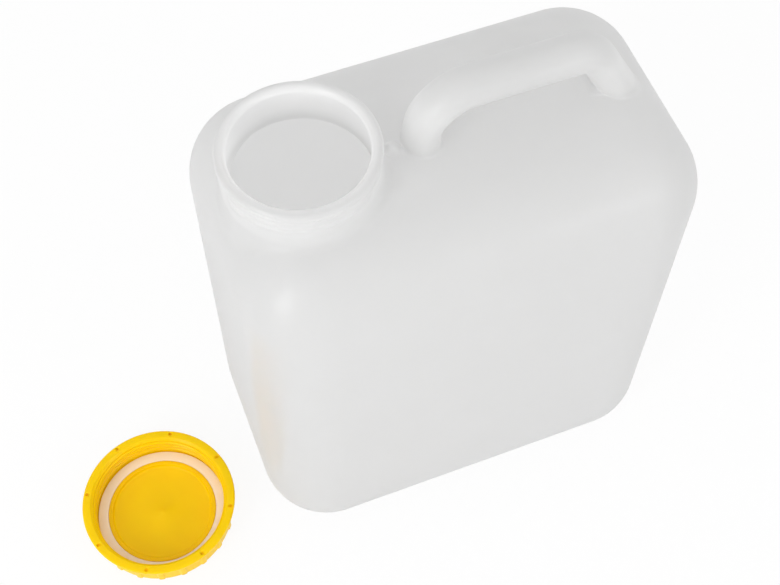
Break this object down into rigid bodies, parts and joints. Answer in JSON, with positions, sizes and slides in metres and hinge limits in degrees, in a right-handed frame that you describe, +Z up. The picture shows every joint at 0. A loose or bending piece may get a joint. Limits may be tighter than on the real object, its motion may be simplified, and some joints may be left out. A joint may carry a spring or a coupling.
{
  "type": "jerrycan",
  "caption": "Upright blow-moulded plastic can with a wide screw neck and a hollow arched handle on its top; the ribbed screw cap with its seal ring lies open side up beside it.",
  "frame": {"origin": "middle of the can's flat base, in the plane that the can and its cap stand on", "axes": "+X along the can, from the neck's end to the handle's far end; +Y to the back; +Z up along the neck's axis"},
  "size_m": [0.4319, 0.18, 0.3826],
  "materials": {
    "can_plastic": "natural polyethylene, milky and faintly see-through, satin as blown",
    "cap_plastic": "yellow polyethylene, injection moulded, half gloss",
    "seal_foam": "pale cream foamed seal, matt"
  },
  "bodies": {
    "root": {"can_body": "can_plastic", "screw_cap": "cap_plastic", "seal_ring": "seal_foam"}
  },
  "joints": []
}
